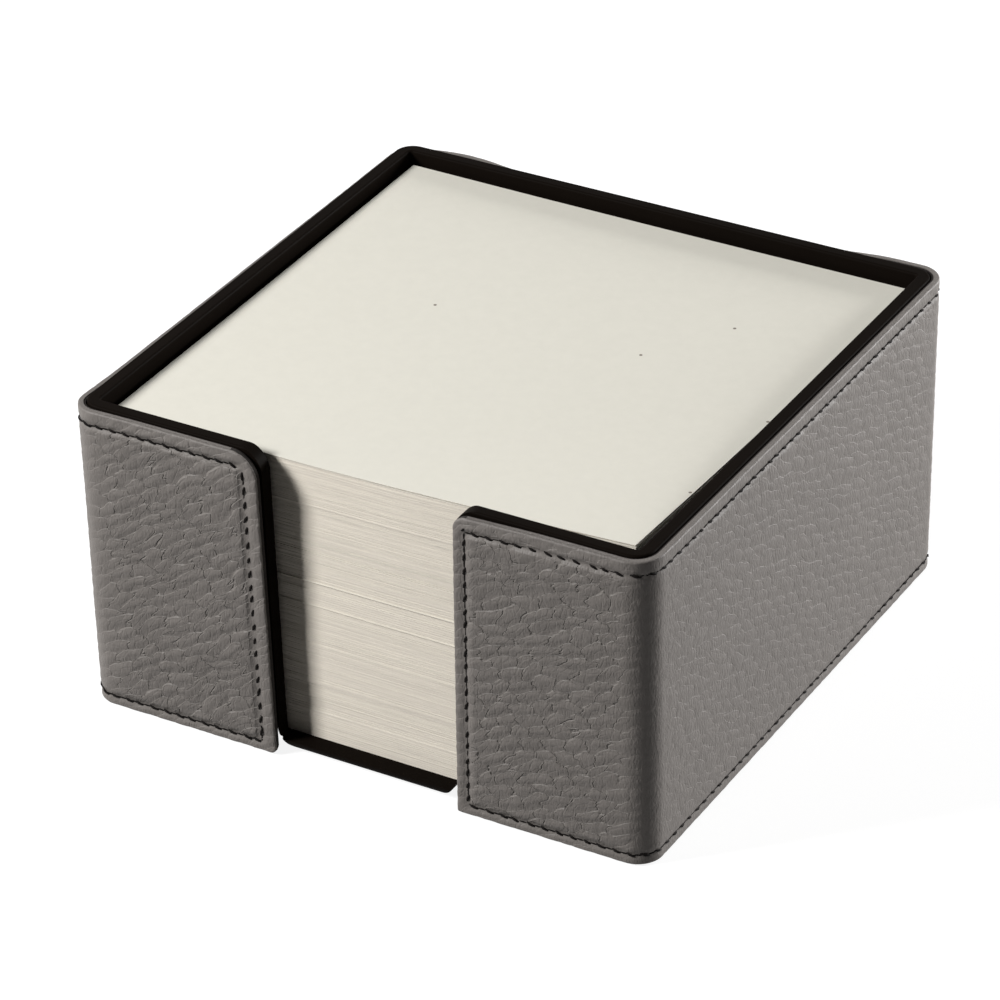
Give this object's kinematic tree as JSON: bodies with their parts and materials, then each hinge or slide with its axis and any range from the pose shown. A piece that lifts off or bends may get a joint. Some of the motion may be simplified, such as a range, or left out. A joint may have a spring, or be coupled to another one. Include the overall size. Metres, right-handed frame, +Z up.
{
  "type": "memo box",
  "caption": "Square desk box for loose note sheets: a moulded tray with an open top and a finger notch in front, wrapped in a sewn leather cover and filled with paper.",
  "frame": {"origin": "on the table, under the middle of the box", "axes": "+Z up, -Y out of the front with the finger notch, +X to the right seen from the front"},
  "size_m": [0.1004, 0.1004, 0.0536],
  "materials": {
    "tray_plastic": "moulded, fine matt texture",
    "grey_leather": "embossed pebble grain, satin",
    "backing_cloth": "thin woven backing",
    "tape": "double-sided tape",
    "thread": "twisted polyester thread",
    "felt": "pressed felt",
    "note_paper": "uncoated writing paper"
  },
  "bodies": {
    "box": {"tray": "tray_plastic", "leather_cover": "grey_leather", "cover_backing": "backing_cloth", "bonding_tape": "tape", "needle_thread": "thread", "bobbin_thread": "thread", "base_felt": "felt"},
    "sheet_pile": {"memo_sheets": "note_paper"},
    "loose_sheet": {"top_sheet": "note_paper"}
  },
  "joints": [
    {"name": "pile_lift", "type": "slide", "parent": "box", "child": "sheet_pile", "axis": [0, 0, 1], "range_m": [0, 0.056]},
    {"name": "sheet_lift", "type": "slide", "parent": "sheet_pile", "child": "loose_sheet", "axis": [0, 0, 1], "range_m": [0, 0.05]}
  ]
}
